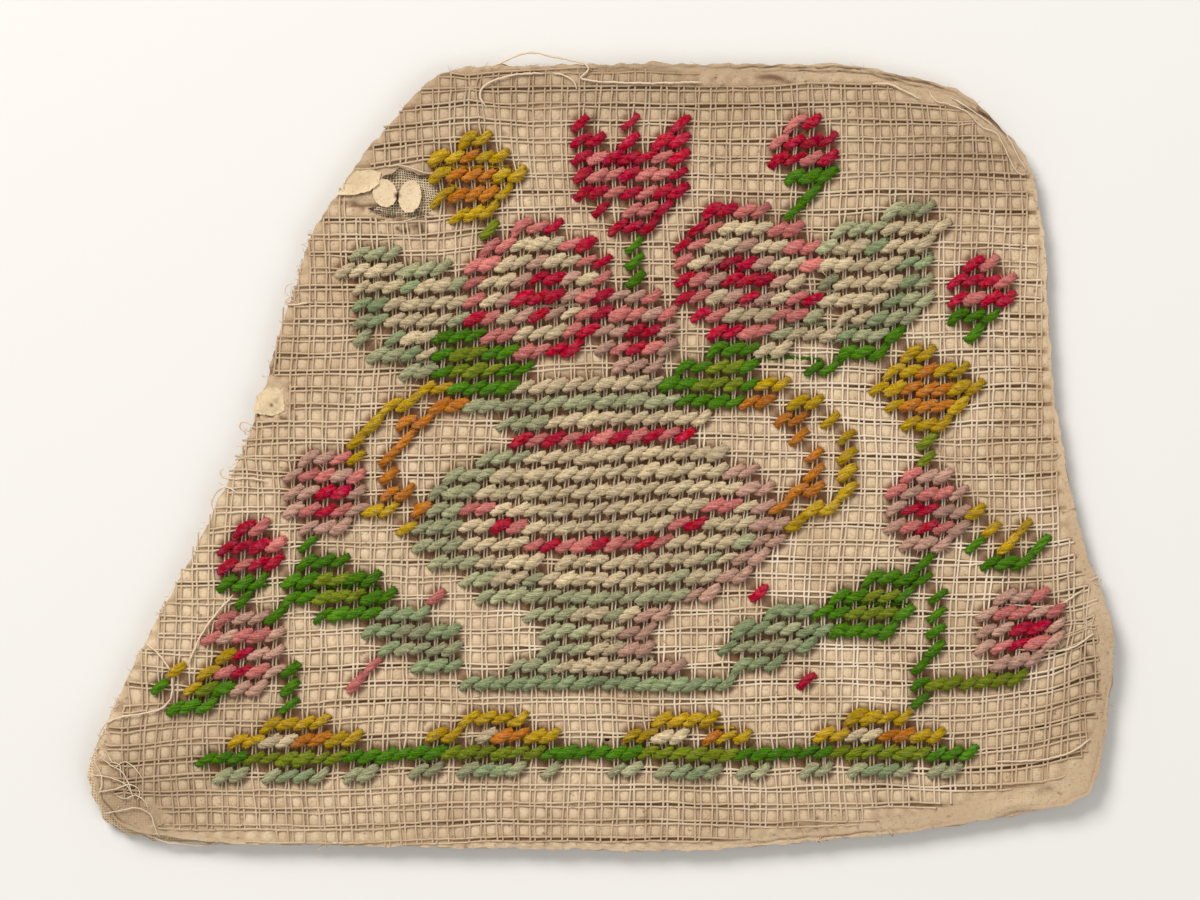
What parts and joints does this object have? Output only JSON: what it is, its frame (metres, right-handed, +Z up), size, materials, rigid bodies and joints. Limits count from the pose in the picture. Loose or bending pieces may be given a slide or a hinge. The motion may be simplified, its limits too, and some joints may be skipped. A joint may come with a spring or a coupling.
{
  "type": "needlework sampler",
  "caption": "Flat uneven piece of wool needlework on double-thread canvas, pasted on paper and gauze, torn at one corner, lying face up.",
  "frame": {"origin": "centre of the bounding box's bottom face, on the surface it lies on", "axes": "+X to the right of the picture, +Y up the picture, +Z up out of the worked face"},
  "size_m": [0.1583, 0.1215, 0.0051],
  "materials": {
    "canvas_thread": "stiff cotton double-thread canvas, matt, soiled",
    "backing_paper": "cream rag paper, matt, stained",
    "gauze": "fine open gauze, matt",
    "wafer_paper": "smooth cream paper",
    "wool_crimson": "plied wool, soft and fuzzy",
    "wool_pink": "plied wool, soft and fuzzy",
    "wool_pale_pink": "plied wool, soft and fuzzy",
    "wool_leaf_green": "plied wool, soft and fuzzy",
    "wool_olive": "plied wool, soft and fuzzy",
    "wool_sage": "plied wool, soft and fuzzy",
    "wool_gold": "plied wool, soft and fuzzy",
    "wool_orange": "plied wool, soft and fuzzy",
    "wool_taupe": "plied wool, soft and fuzzy"
  },
  "bodies": {
    "root": {"gauze_lining": "gauze", "paper_backing": "backing_paper", "canvas": "canvas_thread", "wafer_left": "wafer_paper", "wafer_right": "wafer_paper", "edge_scrap": "wafer_paper"}
  },
  "joints": []
}
